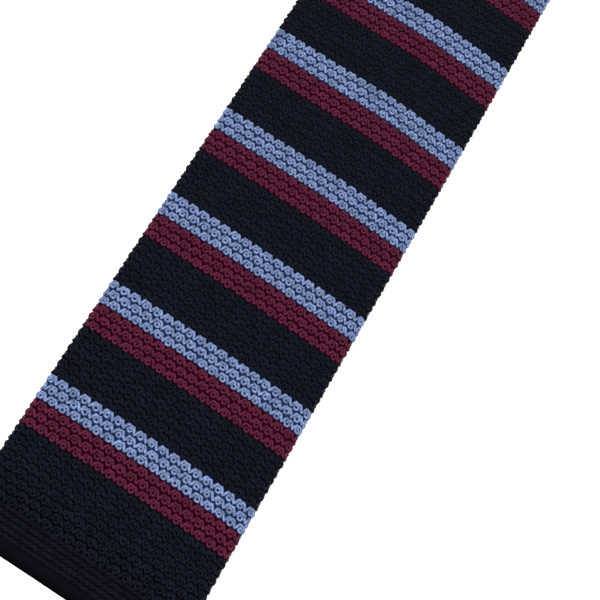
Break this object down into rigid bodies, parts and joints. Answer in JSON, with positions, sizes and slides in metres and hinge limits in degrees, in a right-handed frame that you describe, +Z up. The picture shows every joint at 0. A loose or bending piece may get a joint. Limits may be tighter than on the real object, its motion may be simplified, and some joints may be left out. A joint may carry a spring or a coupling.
{
  "type": "knit tie",
  "caption": "Square-ended knitted necktie with regular cross stripes, laid flat and straight: front blade, neck band and tail blade.",
  "frame": {"origin": "under the middle of the tie's length and width, on the surface it lies on", "axes": "+X along the tie from the front blade's hem to the tail, +Y across it, +Z up out of the front face"},
  "size_m": [1.4524, 0.06, 0.0034],
  "materials": {
    "navy_yarn": "matte knitted yarn, near-black navy",
    "maroon_yarn": "matte knitted yarn, maroon",
    "blue_yarn": "matte knitted yarn, light blue"
  },
  "bodies": {
    "root": {"front_hem": "navy_yarn", "navy_start_band": "navy_yarn", "maroon_band_1": "maroon_yarn", "blue_band_1": "blue_yarn", "navy_band_1": "navy_yarn", "maroon_band_2": "maroon_yarn", "blue_band_2": "blue_yarn", "navy_band_2": "navy_yarn", "maroon_band_3": "maroon_yarn", "blue_band_3": "blue_yarn", "navy_band_3": "navy_yarn", "maroon_band_4": "maroon_yarn", "blue_band_4": "blue_yarn", "navy_band_4": "navy_yarn", "maroon_band_5": "maroon_yarn", "blue_band_5": "blue_yarn", "navy_band_5": "navy_yarn", "maroon_band_6": "maroon_yarn", "blue_band_6": "blue_yarn", "navy_band_6": "navy_yarn", "maroon_band_7": "maroon_yarn", "blue_band_7": "blue_yarn", "navy_band_7": "navy_yarn", "upper_blade": "navy_yarn", "front_taper": "navy_yarn", "neck_band": "navy_yarn", "tail_taper": "navy_yarn", "tail_blade": "navy_yarn", "tail_hem": "navy_yarn"}
  },
  "joints": []
}
